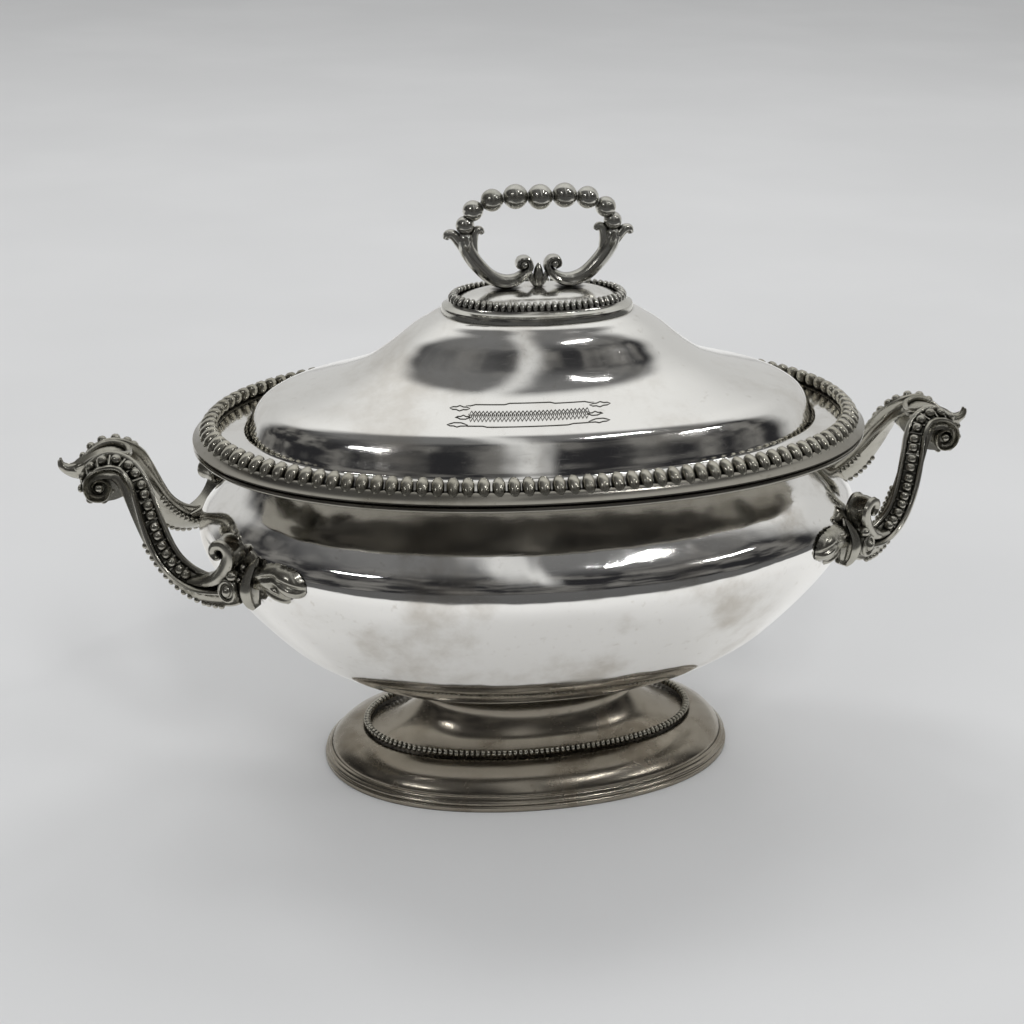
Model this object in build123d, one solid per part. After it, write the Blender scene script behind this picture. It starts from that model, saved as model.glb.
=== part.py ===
from build123d import *
import os
from math import cos, pi, sin

# Oval two-handled soup tureen of electroplated sheet metal with cast handles and a lift-off lid.
# Millimetres. +X runs along the long axis through both side handles, +Z is up, and the origin is
# at the centre of the foot on the table. Every horizontal section is the same kind of oval.

# Driving dimensions
OVAL_SWELL = 0.049  # plan curve: how far the oval swells past a true ellipse between its axes
RIM_A, RIM_B = 148.0, 92.2  # half-length and half-width of the rim's outer edge
RIM_Z = 160.0  # top of the bowl's flat brim
SHEET = 1.4  # thickness of the raised sheet in bowl, lid and foot
FOOT_A, FOOT_B = 95.0, 61.0  # half-length and half-width of the foot
FOOT_BEAD_A, FOOT_BEAD_B, FOOT_BEAD_Z = 75.6, 39.3, 17.7
CROWN_A, CROWN_B, CROWN_Z = 41.5, 24.5, 211.5  # the oval moulding on top of the lid
CROWN_BEAD_A, CROWN_BEAD_B, CROWN_BEAD_Z = 36.6, 19.6, 217.8
RIM_BEAD_A, RIM_BEAD_B, RIM_BEAD_Z = 141.2, 85.4, 164.1
RIM_BEADS, FOOT_BEADS, CROWN_BEADS = 122, 106, 56
LID_GAP = 0.6  # clearance between the lid's flange and the rim border
HANDLE_ROOT = (131.0, 49.0)  # where each arm's plane meets the bowl, as x and y
HANDLE_HEAD = (190.0, 9.5)  # where each arm's plane passes the outer scroll
ARM_WIDTH, ARM_DEPTH = 10.5, 8.5
SPUR_X, SPUR_Z = 203.6, 153.0
STUD_X = 14.0  # the lid handle's two threaded studs stand at plus and minus this
STUD_RADIUS, NUT_RADIUS, NUT_HEIGHT = 1.5, 3.6, 2.6
WASHER_RADIUS, WASHER_HEIGHT = 5.0, 0.8

# Levels of the bowl's outside from the bottom up: half-length, half-width, height
BOWL_LEVELS = [
    (47.0, 24.4, 34.0), (58.0, 32.0, 38.0), (73.0, 42.4, 44.0), (87.0, 52.0, 50.0),
    (99.0, 60.3, 57.0), (111.0, 68.6, 66.0), (122.5, 76.5, 78.0), (134.0, 84.5, 92.0),
    (143.0, 90.7, 106.0), (147.0, 93.4, 118.0), (145.2, 91.2, 126.0), (139.5, 85.0, 133.0),
    (133.0, 78.2, 139.0), (128.2, 73.0, 145.0), (125.5, 70.0, 150.5), (127.0, 71.3, 155.0),
]
# Levels of the lid's outside from its flange up
LID_LEVELS = [
    (124.4, 68.6, 161.4), (124.3, 68.6, 165.0), (122.8, 67.6, 169.5), (120.8, 66.5, 172.5),
    (117.6, 64.8, 175.0), (112.0, 61.8, 177.5), (101.0, 55.9, 180.5), (87.6, 48.6, 184.5),
    (76.2, 42.4, 189.0), (68.0, 38.0, 194.0), (61.4, 34.8, 199.0), (55.2, 31.8, 204.0),
    (48.8, 28.4, 208.0), (41.0, 24.0, CROWN_Z),
]
# Levels of the foot from the table up to the neck
FOOT_LEVELS = [
    (91.8, 57.8, 0.8), (91.8, 57.8, 6.2), (90.4, 56.3, 9.0), (87.4, 52.9, 12.0),
    (83.2, 48.0, 14.4), (79.0, 43.0, 15.6), (75.0, 38.6, 15.4), (70.0, 34.6, 16.2),
    (62.5, 29.4, 19.4), (55.0, 26.2, 24.5), (50.0, 25.0, 30.0), (50.5, 26.6, 36.8),
]


def oval_point(a, b, z, angle):
    """Point of the oval with half-length a and half-width b at height z."""
    x = a * cos(angle) * (1 + OVAL_SWELL * sin(angle) ** 2)
    y = b * sin(angle) * (1 + OVAL_SWELL * cos(angle) ** 2)
    return Vector(x, y, z)


def oval_face(a, b, z):
    """Flat oval face at height z."""
    count = 32
    points = [oval_point(a, b, z, 2 * pi * i / count) for i in range(count)]
    return Face(Wire([Edge.make_spline(points, periodic=True)]))


def oval_solid(levels, ruled=False):
    """Solid through a stack of ovals, each given as half-length, half-width and height."""
    return Solid.make_loft([oval_face(*level).outer_wire() for level in levels], ruled)


def evenly_along_oval(a, b, count):
    """Angles that part the oval into steps of equal length, found by walking round it."""
    fine = 2400
    lengths = [0.0]
    for i in range(fine):
        start = oval_point(a, b, 0, 2 * pi * i / fine)
        end = oval_point(a, b, 0, 2 * pi * (i + 1) / fine)
        lengths.append(lengths[-1] + (end - start).length)
    angles = []
    step = 0
    for k in range(count):
        while lengths[step] < lengths[-1] * k / count:
            step += 1
        angles.append(2 * pi * step / fine)
    return angles


def moulding(outer, inner):
    """Oval ring between an outer stack of levels and an inner one, with crisp steps."""
    return oval_solid(outer, ruled=True) - oval_solid(inner, ruled=True)


def beading(a, b, z, count, bead_radius, strip_height, seat=None):
    """Beaded strip: a thin oval strip with a row of round beads standing along it."""
    half = bead_radius * 0.55
    low, high = z - bead_radius, z - bead_radius + strip_height
    if seat:
        low = low - bead_radius
    strip = moulding(
        [(a + half, b + half, low), (a + half, b + half, high)],
        [(a - half, b - half, low), (a - half, b - half, high)],
    )
    if seat:
        strip = (strip - seat).solids().sort_by(SortBy.VOLUME)[-1]
    beads = []
    for angle in evenly_along_oval(a, b, count):
        place = oval_point(a, b, z, angle)
        beads.append(Pos(place.X, place.Y, place.Z) * Sphere(bead_radius))
    return strip.fuse(*beads)


def bowl_outside():
    """The bowl's outer form up to the brim, as one solid."""
    return oval_solid(BOWL_LEVELS)


def bowl():
    """Raised sheet bowl: belly, waisted neck and a flat turned-out brim."""
    inside = [(a - SHEET, b - SHEET, z) for a, b, z in BOWL_LEVELS[1:]]
    a0, b0, z0 = BOWL_LEVELS[0]
    inside.insert(0, (a0 - 3, b0 - 3, z0 + SHEET))
    wall = bowl_outside() - oval_solid(inside)
    neck_a, neck_b, neck_z = BOWL_LEVELS[-1]
    brim_outer = [
        (neck_a, neck_b, neck_z), (neck_a + 2.5, neck_b + 2.5, RIM_Z - SHEET),
        (RIM_A - 1.5, RIM_B - 1.5, RIM_Z - SHEET), (RIM_A - 1.5, RIM_B - 1.5, RIM_Z),
    ]
    brim_inner = [
        (neck_a - SHEET, neck_b - SHEET, neck_z), (neck_a + 0.8, neck_b + 0.8, RIM_Z - SHEET),
        (neck_a + 1.8, neck_b + 1.8, RIM_Z),
    ]
    return wall + moulding(brim_outer, brim_inner)


def rim_moulding():
    """Border mount on the brim: a seat for the beading, a plain sloping band, a reeded edge."""
    outer = [
        (RIM_A - 0.7, RIM_B - 0.7, RIM_Z - 4.0), (RIM_A - 0.2, RIM_B - 0.2, RIM_Z - 3.2),
        (RIM_A - 0.2, RIM_B - 0.2, RIM_Z - 2.2), (RIM_A - 1.0, RIM_B - 1.0, RIM_Z - 1.6),
        (RIM_A, RIM_B, RIM_Z - 0.8), (RIM_A, RIM_B, RIM_Z + 0.4),
        (RIM_A - 4.0, RIM_B - 4.0, RIM_Z + 2.4),
    ]
    inner = [
        (RIM_A - 1.5, RIM_B - 1.5, RIM_Z - 4.0), (RIM_A - 1.5, RIM_B - 1.5, RIM_Z),
        (RIM_A - 10.0, RIM_B - 10.0, RIM_Z), (RIM_A - 10.0, RIM_B - 10.0, RIM_Z + 1.2),
    ]
    body = oval_solid(outer, ruled=True)
    top_z = RIM_Z + 1.2
    bead_seat = oval_solid([(RIM_A - 3.8, RIM_B - 3.8, top_z), (RIM_A - 3.8, RIM_B - 3.8, RIM_Z + 5)], True)
    return body - oval_solid(inner[:2], True) - oval_solid(inner[2:], True) - bead_seat


def foot_outside():
    """The foot's outer form, as one solid."""
    return oval_solid(FOOT_LEVELS)


def foot_shell():
    """Raised oval foot: convex skirt, seat for the beading, and a waisted neck under the bowl."""
    inside = [(a - SHEET, b - SHEET, z - 0.4) for a, b, z in FOOT_LEVELS]
    inside[0] = (FOOT_LEVELS[0][0] - SHEET, FOOT_LEVELS[0][1] - SHEET, FOOT_LEVELS[0][2])
    shell = foot_outside() - oval_solid(inside)
    return (shell - bowl_outside()).solids().sort_by(SortBy.VOLUME)[-1]


def foot_rim_moulding():
    """Reeded band round the bottom of the foot."""
    outer = [
        (FOOT_A, FOOT_B, 0.0), (FOOT_A, FOOT_B, 2.6), (FOOT_A - 0.9, FOOT_B - 0.9, 3.2),
        (FOOT_A - 0.5, FOOT_B - 0.5, 3.8), (FOOT_A - 0.8, FOOT_B - 0.8, 4.8),
        (FOOT_A - 1.8, FOOT_B - 1.8, 5.4), (FOOT_A - 2.0, FOOT_B - 2.0, 6.0),
    ]
    inner = [(FOOT_LEVELS[0][0], FOOT_LEVELS[0][1], z) for z in (0.0, 6.0)]
    return (moulding(outer, inner) - foot_outside()).solids().sort_by(SortBy.VOLUME)[-1]


def along_arm(u, z):
    """Point of the rear right arm: u millimetres out from the root in the arm's upright plane."""
    run = (Vector(*HANDLE_HEAD) - Vector(*HANDLE_ROOT)).normalized()
    return Vector(HANDLE_ROOT[0] + u * run.X, HANDLE_ROOT[1] + u * run.Y, z)


def arm_frame(u, z):
    """Plane at a point of the arm whose normal lies level across the arm."""
    ahead = along_arm(1, 0) - along_arm(0, 0)
    return Plane(origin=along_arm(u, z), x_dir=ahead, z_dir=Vector(-ahead.Y, ahead.X, 0))


def on_side(shape, side_x, side_y):
    """The rear right piece, mirrored to the left for side_x -1 and to the front for side_y -1."""
    if side_x < 0:
        shape = mirror(shape, Plane.YZ)
    if side_y < 0:
        shape = mirror(shape, Plane.XZ)
    return shape


# Centre line of an arm, as distance out from the root and height
ARM_LINE = [
    (6.0, 109.6), (13.0, 109.4), (21.0, 110.0), (28.0, 112.6), (34.0, 117.0),
    (38.5, 122.5), (42.0, 128.5), (45.5, 135.5), (49.0, 142.5), (53.0, 149.0),
    (57.5, 153.2), (62.5, 154.6), (67.5, 154.0), (72.0, 151.2),
]
SCROLL_U, SCROLL_Z, SCROLL_RADIUS = 70.5, 146.8, 8.4
CURL_U, CURL_Z, CURL_RADIUS = 6.0, 128.6, 3.8


def handle_arm():
    """Cast S-shaped arm: root block on the bowl, channelled strap, curl and outer scroll."""
    path = Wire([Edge.make_spline([along_arm(u, z) for u, z in ARM_LINE])])
    start = Plane(origin=path @ 0, x_dir=Vector(0, 0, 1), z_dir=path % 0)
    channel = Pos(ARM_DEPTH / 2, 0) * Rectangle(3.0, 5.5)
    section = start * (RectangleRounded(ARM_DEPTH, ARM_WIDTH, 1.6) - channel)
    strap = sweep(section.faces()[0], path)
    scroll = arm_frame(SCROLL_U, SCROLL_Z) * Cylinder(SCROLL_RADIUS, ARM_WIDTH)
    curl = arm_frame(CURL_U, CURL_Z) * Cylinder(CURL_RADIUS, ARM_WIDTH)
    root = arm_frame(2.0, 116.0) * Box(13.0, 23.0, ARM_WIDTH + 1.0)
    arm = strap + scroll + curl + root - bowl_outside()
    return arm.solids().sort_by(SortBy.VOLUME)[-1]


def handle_head(arm):
    """Cast leaf hood between the two arms' outer ends, drawn out to an upturned spur."""
    outline = [
        (174.0, 152.0), (175.5, 157.5), (181.0, 159.8), (188.0, 158.0), (194.0, 154.6),
        (199.0, 152.6), (SPUR_X, SPUR_Z + 2.5), (SPUR_X - 1.5, SPUR_Z - 1.0), (197.0, 146.5),
        (191.0, 146.0), (184.0, 150.0),
    ]
    side = Polyline(*[(x, 0, z) for x, z in outline], close=True)
    hood = extrude(make_face(side), 3.4, dir=(0, 1, 0), both=True)
    hood = hood - arm - on_side(arm, 1, -1)
    return hood.solids().sort_by(SortBy.VOLUME)[-1]


def leaf_mount(arm):
    """Thin cast leaf that lies on the bowl's belly beside the arm's root."""
    plane = Plane(origin=(119.0, 60.5, 119.0), x_dir=Vector(0, 0, 1), z_dir=Vector(0.63, 0.777, 0))
    blank = plane * extrude(Ellipse(8.0, 17.0), 12, both=True)
    swollen = oval_solid([(a + 2.4, b + 2.4, z) for a, b, z in BOWL_LEVELS])
    leaf = (blank & swollen) - bowl_outside() - arm
    return leaf.solids().sort_by(SortBy.VOLUME)[-1]


def lid_dome():
    """Raised sheet lid: flat flange, steep bulge, swept shoulder, and the flat under the crown."""
    inside = [(a - SHEET, b - SHEET, z - 0.5 * SHEET) for a, b, z in LID_LEVELS]
    a0, b0, z0 = LID_LEVELS[0]
    flange_a = RIM_A - 10.0 - LID_GAP
    flange_b = RIM_B - 10.0 - LID_GAP
    base_z = RIM_Z
    inside[0] = (a0 - SHEET, b0 - SHEET, base_z)
    flange = oval_solid([(flange_a, flange_b, base_z), (flange_a, flange_b, z0)], True)
    top_z = LID_LEVELS[-1][2]
    dome = oval_solid(LID_LEVELS) + flange - oval_solid(inside)
    crown_flat = oval_solid([(41.0, 24.0, top_z - SHEET), (41.0, 24.0, top_z)], True)
    dome = dome + (crown_flat & oval_solid([(41.5, 24.5, top_z - 3), (41.0, 24.0, top_z)], True))
    for x in (-STUD_X, STUD_X):
        dome = dome - Pos(x, 0, top_z) * Cylinder(STUD_RADIUS, 30)
    return dome.solids().sort_by(SortBy.VOLUME)[-1]


def lid_bezel():
    """Upright oval band soldered under the lid, which drops inside the bowl's mouth."""
    a0, b0, z0 = LID_LEVELS[0]
    outer = [(a0 - SHEET, b0 - SHEET, RIM_Z - 8.0), (a0 - SHEET, b0 - SHEET, z0)]
    inner = [(a0 - 2.6, b0 - 2.6, RIM_Z - 8.0), (a0 - 2.6, b0 - 2.6, z0)]
    return (moulding(outer, inner) - lid_dome()).solids().sort_by(SortBy.VOLUME)[-1]


def crown_moulding():
    """Oval moulding on the lid's top: upright edge, hollow, and a seat for the beading."""
    outer = [
        (CROWN_A, CROWN_B, CROWN_Z), (CROWN_A, CROWN_B, CROWN_Z + 2.6),
        (CROWN_A - 2.0, CROWN_B - 2.0, CROWN_Z + 3.4), (CROWN_A - 3.0, CROWN_B - 3.0, CROWN_Z + 4.6),
    ]
    inner = [(CROWN_A - 8.0, CROWN_B - 8.0, CROWN_Z), (CROWN_A - 8.0, CROWN_B - 8.0, CROWN_Z + 4.6)]
    return moulding(outer, inner)


def crown_plate():
    """Slightly domed oval plate inside the crown's beading, which carries the lid handle."""
    levels = [
        (CROWN_A - 8.0, CROWN_B - 8.0, CROWN_Z), (CROWN_A - 8.0, CROWN_B - 8.0, CROWN_Z + 6.0),
        (26.0, 12.5, CROWN_Z + 8.6), (20.0, 8.5, CROWN_Z + 9.4),
    ]
    plate = oval_solid(levels, ruled=True)
    for x in (-STUD_X, STUD_X):
        plate = plate - Pos(x, 0, CROWN_Z) * Cylinder(STUD_RADIUS, 40)
    return plate


PLATE_TOP = CROWN_Z + 9.4
# Centre line of a lid-handle scroll from the leaf collar down to the curl: x and height
SCROLL_LINE = [
    (-31.6, 243.5), (-30.8, 239.0), (-28.6, 234.6), (-25.0, 230.2), (-20.2, 226.6),
    (-15.0, 224.9), (-10.0, 225.2), (-6.6, 227.4),
]
# Beads of the lid handle from the middle outwards: x, height, radius
HANDLE_BEADS = [
    (0.0, 259.8, 5.2), (10.4, 260.2, 4.75), (20.1, 259.2, 4.5), (28.0, 254.8, 4.1), (31.2, 248.6, 3.7),
]


def lid_handle_scroll():
    """Left C-scroll of the lid handle, with a leaf collar on top and a curl at the foot."""
    path = Wire([Edge.make_spline([Vector(x, 0, z) for x, z in SCROLL_LINE])])
    start = Plane(origin=path @ 0, z_dir=path % 0)
    stem = sweep((start * Circle(2.9)).faces()[0], path)
    curl = Pos(-6.3, 0, 229.6) * Rot(90, 0, 0) * Cylinder(3.0, 5.8)
    sit = Pos(-STUD_X, 0, (PLATE_TOP + 224.0) / 2) * Box(9.0, 5.0, 224.0 - PLATE_TOP)
    collar_base = Plane(origin=(-31.6, 0, 241.0), z_dir=(-0.1, 0, 1))
    collar_top = collar_base.offset(4.4)
    collar = loft([(collar_base * Circle(3.2)).faces()[0], (collar_top * Ellipse(6.6, 3.9)).faces()[0]])
    end_x, end_z, end_radius = HANDLE_BEADS[-1]
    scroll = stem + curl + sit + collar
    scroll = scroll - Pos(-STUD_X, 0, 221.0) * Cylinder(STUD_RADIUS, 7.0)
    scroll = scroll - Pos(-end_x, 0, end_z) * Sphere(end_radius)
    return scroll.solids().sort_by(SortBy.VOLUME)[-1]


def lid_handle_leaf(scrolls):
    """Small three-lobed cast leaf between the two curls of the lid handle."""
    outline = [(-3.2, PLATE_TOP), (-1.4, 226.0), (0, 231.0), (1.4, 226.0), (3.2, PLATE_TOP)]
    front = make_face(Polyline(*[(x, 0, z) for x, z in outline], close=True))
    leaf = extrude(front, 2.4, dir=(0, 1, 0), both=True)
    for scroll in scrolls:
        leaf = leaf - scroll
    return leaf.solids().sort_by(SortBy.VOLUME)[-1]


def lid_handle_beads():
    """Bow of nine graduated balls, cast in one, the biggest in the middle."""
    row = [(-x, z, r) for x, z, r in reversed(HANDLE_BEADS[1:])] + HANDLE_BEADS
    core = Wire([Edge.make_spline([Vector(x, 0, z) for x, z, _ in row])])
    start = Plane(origin=core @ 0, z_dir=core % 0)
    bow = sweep((start * Circle(1.8)).faces()[0], core)
    return bow.fuse(*[Pos(x, 0, z) * Sphere(r) for x, z, r in row])


def lid_handle_studs():
    """Two threaded studs that hold the handle down through the crown."""
    top, bottom = 224.0, CROWN_Z - SHEET - WASHER_HEIGHT - NUT_HEIGHT - 1.2
    height = top - bottom
    return [Pos(x, 0, (top + bottom) / 2) * Cylinder(STUD_RADIUS, height) for x in (-STUD_X, STUD_X)]


def lid_handle_washers():
    """Two plain washers under the crown."""
    z = CROWN_Z - SHEET - WASHER_HEIGHT / 2
    ring = Cylinder(WASHER_RADIUS, WASHER_HEIGHT) - Cylinder(STUD_RADIUS, 4)
    return [Pos(x, 0, z) * ring for x in (-STUD_X, STUD_X)]


def lid_handle_nuts():
    """Two hexagon nuts on the studs inside the lid."""
    z = CROWN_Z - SHEET - WASHER_HEIGHT - NUT_HEIGHT
    nut = extrude(RegularPolygon(NUT_RADIUS, 6) - Circle(STUD_RADIUS), NUT_HEIGHT)
    return [Pos(x, 0, z) * nut for x in (-STUD_X, STUD_X)]


def write(name, shape):
    """Write one node's STEP file."""
    if isinstance(shape, list):
        shape = Compound(children=shape)
    export_step(shape, f"parts/{name}.step")


os.makedirs("parts", exist_ok=True)
write("bowl", bowl())
write("bowl_rim_moulding", rim_moulding())
write("bowl_rim_beading", beading(RIM_BEAD_A, RIM_BEAD_B, RIM_BEAD_Z, RIM_BEADS, 2.9, 1.2))
write("foot_shell", foot_shell())
write("foot_rim_moulding", foot_rim_moulding())
write("foot_beading", beading(FOOT_BEAD_A, FOOT_BEAD_B, FOOT_BEAD_Z, FOOT_BEADS, 1.6, 0.6, foot_outside()))
arm = handle_arm()
leaf = leaf_mount(arm)
head = handle_head(arm)
for side_name, side_x in (("left", -1), ("right", 1)):
    for end_name, side_y in (("front", -1), ("rear", 1)):
        write(f"{side_name}_handle_{end_name}_arm", on_side(arm, side_x, side_y))
        write(f"{side_name}_handle_{end_name}_leaf", on_side(leaf, side_x, side_y))
    write(f"{side_name}_handle_head", on_side(head, side_x, 1))
write("lid_dome", lid_dome())
write("lid_bezel", lid_bezel())
write("lid_crown_moulding", crown_moulding())
write("lid_crown_beading", beading(CROWN_BEAD_A, CROWN_BEAD_B, CROWN_BEAD_Z, CROWN_BEADS, 1.7, 0.6))
write("lid_crown_plate", crown_plate())
left_scroll = lid_handle_scroll()
right_scroll = mirror(left_scroll, Plane.YZ)
write("lid_handle_left_scroll", left_scroll)
write("lid_handle_right_scroll", right_scroll)
write("lid_handle_leaf", lid_handle_leaf([left_scroll, right_scroll]))
write("lid_handle_beads", lid_handle_beads())
write("lid_handle_studs", lid_handle_studs())
write("lid_handle_washers", lid_handle_washers())
write("lid_handle_nuts", lid_handle_nuts())
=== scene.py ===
import math

import bmesh
import bpy
from mathutils import Matrix, Vector


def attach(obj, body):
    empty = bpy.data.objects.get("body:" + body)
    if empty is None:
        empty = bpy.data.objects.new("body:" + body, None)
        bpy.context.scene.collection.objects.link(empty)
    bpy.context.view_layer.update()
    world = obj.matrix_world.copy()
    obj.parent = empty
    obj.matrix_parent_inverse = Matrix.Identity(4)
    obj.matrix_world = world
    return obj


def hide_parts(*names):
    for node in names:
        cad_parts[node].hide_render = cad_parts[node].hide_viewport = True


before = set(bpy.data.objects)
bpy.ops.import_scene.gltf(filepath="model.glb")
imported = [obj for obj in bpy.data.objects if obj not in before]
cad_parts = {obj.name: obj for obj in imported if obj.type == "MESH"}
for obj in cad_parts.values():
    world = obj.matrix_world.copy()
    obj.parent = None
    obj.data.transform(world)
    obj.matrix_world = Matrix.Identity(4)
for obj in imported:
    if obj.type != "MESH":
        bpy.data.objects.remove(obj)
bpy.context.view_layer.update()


# ---- Bowl ------------------------------------------------------------------------------
# The bowl is raised from one sheet of nickel silver, plated, and drawn to an oval. It has a full
# belly, a deep hollow neck and a flat brim that carries the bead border. It is soldered to the foot.

MM = 0.001
SHEET = 1.4
OVAL_SWELL = 0.049
RING_STEPS = 288
BOWL_LEVELS = [  # half-width, half-depth, height
    (0, 0, 33.4), (20, 10, 33.5), (38, 19.5, 33.7), (47, 24.4, 34.5), (58, 32, 38), (73, 42.4, 44),
    (87, 52, 50), (99, 60.3, 57), (111, 68.6, 66), (122.5, 76.5, 78), (134, 84.5, 92), (143, 90.7, 106),
    (147, 93.4, 118), (145.2, 91.2, 126), (139.5, 85, 133), (133, 78.2, 139), (128.2, 73, 145),
    (125.7, 70.1, 150.5), (127, 71.3, 155), (131, 75.6, 158.0), (138, 82.4, 158.7), (146.5, 90.7, 158.8),
]


def smooth_line(points, steps):
    """Points of a smooth curve that passes through the given points."""
    line = []
    last = len(points) - 1
    for i in range(last):
        before = Vector(points[max(i - 1, 0)])
        start = Vector(points[i])
        end = Vector(points[i + 1])
        after = Vector(points[min(i + 2, last)])
        for k in range(steps):
            t = k / steps
            slope = (end - before) * t
            bend = (2 * before - 5 * start + 4 * end - after) * t ** 2
            twist = (3 * start - before - 3 * end + after) * t ** 3
            line.append(0.5 * (2 * start + slope + bend + twist))
    line.append(Vector(points[-1]))
    return line


def on_oval(width, depth, z, turn):
    """The point of an oval ring at an angle, in metres."""
    x = width * math.cos(turn) * (1 + OVAL_SWELL * math.sin(turn) ** 2)
    y = depth * math.sin(turn) * (1 + OVAL_SWELL * math.cos(turn) ** 2)
    return Vector((x, y, z)) * MM


def spun_oval(profile, closed=False):
    """A profile of (half-width, half-depth, height) spun round +Z, each ring drawn to its own oval."""
    bm = bmesh.new()
    depth_of = bm.verts.layers.float.new("half_depth")
    verts = []
    for width, depth, z in profile:
        vert = bm.verts.new((width, 0, z))
        vert[depth_of] = depth
        verts.append(vert)
    edges = [bm.edges.new(pair) for pair in zip(verts, verts[1:])]
    if closed:
        edges.append(bm.edges.new((verts[-1], verts[0])))
    bmesh.ops.spin(
        bm, geom=verts + edges, cent=(0, 0, 0), axis=(0, 0, 1), dvec=(0, 0, 0),
        angle=math.tau, steps=RING_STEPS, use_merge=True,
    )
    for vert in bm.verts:
        turn = math.atan2(vert.co.y, vert.co.x)
        vert.co = on_oval(vert.co.xy.length, vert[depth_of], vert.co.z, turn)
    bmesh.ops.remove_doubles(bm, verts=bm.verts, dist=1e-6)
    bmesh.ops.recalc_face_normals(bm, faces=bm.faces)
    return bm


def walled(bm, thickness):
    """Gives an open spun sheet its wall, inwards from the face that shows."""
    widest = max(bm.faces, key=lambda face: face.calc_center_median().x)
    if widest.normal.x + widest.normal.z < 0:
        bmesh.ops.reverse_faces(bm, faces=bm.faces)
    bmesh.ops.solidify(bm, geom=bm.faces[:], thickness=thickness * MM)
    return bm


def piece(name, bm, body, material, slot, *nodes, sharp=38):
    """Makes the finished object, rides it on its body and stands it for its CAD nodes."""
    mesh = bpy.data.meshes.new(name)
    bm.to_mesh(mesh)
    bm.free()
    mesh.shade_smooth()
    mesh.set_sharp_from_angle(angle=math.radians(sharp))
    mesh.materials.append(material)
    thing = bpy.data.objects.new(name, mesh)
    bpy.context.scene.collection.objects.link(thing)
    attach(thing, body)
    if nodes:
        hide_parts(*nodes)
    return thing


class Nodes:
    """Short hand for joining shader nodes of one material."""

    def __init__(self, tree):
        self.tree = tree
        self.tree.nodes.clear()

    def add(self, kind, **values):
        node = self.tree.nodes.new("ShaderNode" + kind)
        for key, value in values.items():
            setattr(node, key, value)
        return node

    def join(self, out, into):
        self.tree.links.new(out, into)

    def feed(self, node, **sockets):
        for key, value in sockets.items():
            socket = node.inputs[key.replace("_", " ")]
            if isinstance(value, bpy.types.NodeSocket):
                self.join(value, socket)
            else:
                socket.default_value = value
        return node

    def noise(self, place, scale, detail=4.0, roughness=0.55):
        node = self.add("TexNoise")
        self.feed(node, Vector=place, Scale=scale, Detail=detail, Roughness=roughness)
        return node.outputs["Fac"]

    def stretch(self, place, scale, turn):
        node = self.add("Mapping")
        self.feed(node, Vector=place, Scale=scale, Rotation=turn)
        return node.outputs["Vector"]

    def ramp(self, value, low, high):
        node = self.add("MapRange", interpolation_type="SMOOTHSTEP")
        self.feed(node, Value=value, From_Min=low, From_Max=high)
        return node.outputs["Result"]

    def maths(self, operation, first, second):
        node = self.add("Math", operation=operation)
        for socket, value in zip(node.inputs, (first, second)):
            if isinstance(value, bpy.types.NodeSocket):
                self.join(value, socket)
            else:
                socket.default_value = value
        return node.outputs[0]

    def blend(self, share, first, second):
        node = self.add("Mix", data_type="RGBA")
        for socket, value in zip((node.inputs[0], node.inputs[6], node.inputs[7]), (share, first, second)):
            if isinstance(value, bpy.types.NodeSocket):
                self.join(value, socket)
            else:
                socket.default_value = value
        return node.outputs[2]


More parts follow.
